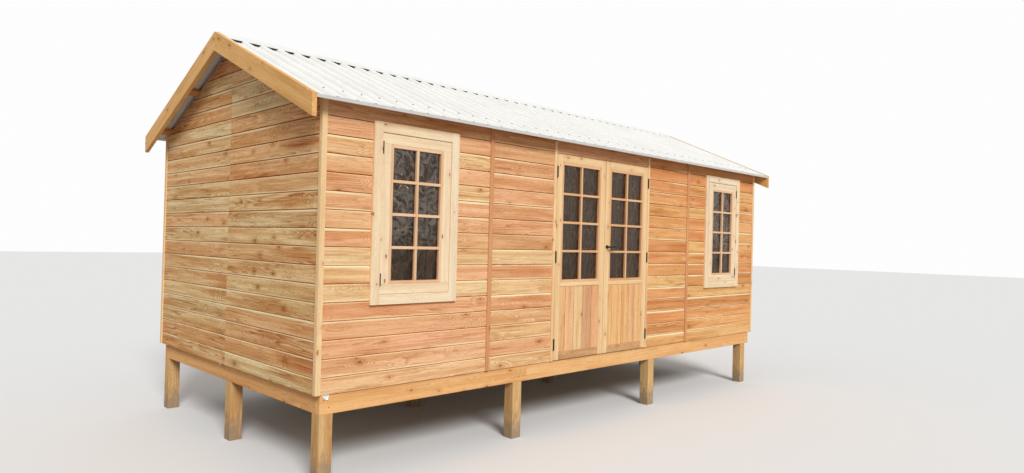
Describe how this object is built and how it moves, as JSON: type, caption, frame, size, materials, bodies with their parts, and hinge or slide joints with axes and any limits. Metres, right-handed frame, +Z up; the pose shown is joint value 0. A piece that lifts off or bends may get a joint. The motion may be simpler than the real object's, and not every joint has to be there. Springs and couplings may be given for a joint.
{
  "type": "garden office pod",
  "caption": "Board-clad timber garden room on short posts, with paired glazed doors, glazed windows and a ribbed steel gable roof.",
  "frame": {"origin": "at ground level under the centre of the plan, in the plane of the posts' feet", "axes": "+X along the front to the right as seen from in front, +Y from the front to the back, +Z up"},
  "size_m": [6.54, 3.29, 3.3759],
  "materials": {
    "wall_boards": "clear-oiled cedar-toned boards",
    "trim_pine": "clear-oiled pine",
    "joinery": "clear-oiled pine, planed smooth",
    "barge_pine": "oiled pine",
    "bearer_pine": "treated pine, sawn",
    "treated_pine": "treated pine, sawn, faintly green",
    "framing_pine": "framing timber, planed",
    "deck_board": "floor sheet, bare",
    "roof_steel": "off-white coated steel, satin",
    "black_metal": "black powder coat, satin",
    "pane": "clear pane, slightly wavy"
  },
  "bodies": {
    "shell": {"posts": "treated_pine", "bearers_long": "bearer_pine", "bearer_middle": "bearer_pine", "bearers_end": "bearer_pine", "floor_joists": "framing_pine", "floor_deck": "deck_board", "front_panel_window_left": "wall_boards", "front_panel_plain_left": "wall_boards", "front_panel_header": "wall_boards", "front_panel_plain_right": "wall_boards", "front_panel_window_right": "wall_boards", "left_panel_front": "wall_boards", "left_panel_back": "wall_boards", "right_panel_front": "wall_boards", "right_panel_back": "wall_boards", "back_panel_1": "wall_boards", "back_panel_2": "wall_boards", "back_panel_3": "wall_boards", "back_panel_4": "wall_boards", "corner_trims": "trim_pine", "joint_strips": "trim_pine", "door_jambs": "trim_pine", "jamb_hinges": "black_metal", "window_frames": "trim_pine", "window_sashes": "joinery", "window_glass": "pane", "window_hinges": "black_metal", "purlins": "framing_pine", "rafter_pairs": "framing_pine", "barge_boards_front": "barge_pine", "barge_boards_back": "barge_pine", "roof_sheet_front": "roof_steel", "roof_sheet_back": "roof_steel", "ridge_cap": "roof_steel", "eave_trims": "roof_steel"},
    "left_door": {"left_leaf_frame": "joinery", "left_leaf_panel": "wall_boards", "left_leaf_glass": "pane", "left_leaf_hinges": "black_metal"},
    "right_door": {"right_leaf_frame": "joinery", "right_leaf_panel": "wall_boards", "right_leaf_glass": "pane", "right_leaf_hinges": "black_metal", "lever_roses": "black_metal"},
    "lever": {"lever_handle": "black_metal"}
  },
  "joints": [
    {"name": "left_door_hinge", "type": "hinge", "parent": "shell", "child": "left_door", "pos_m": [-0.7225, -1.527, 1.586], "axis": [0, 0, -1], "range_deg": [0, 165]},
    {"name": "right_door_hinge", "type": "hinge", "parent": "shell", "child": "right_door", "pos_m": [0.7225, -1.527, 1.586], "axis": [0, 0, 1], "range_deg": [0, 165]},
    {"name": "lever_turn", "type": "hinge", "parent": "right_door", "child": "lever", "pos_m": [0.0365, -1.5, 1.688], "axis": [0, 1, 0], "range_deg": [0, 45], "stiffness_Nm_per_rad": 0.6, "springref_deg": -45.84}
  ]
}
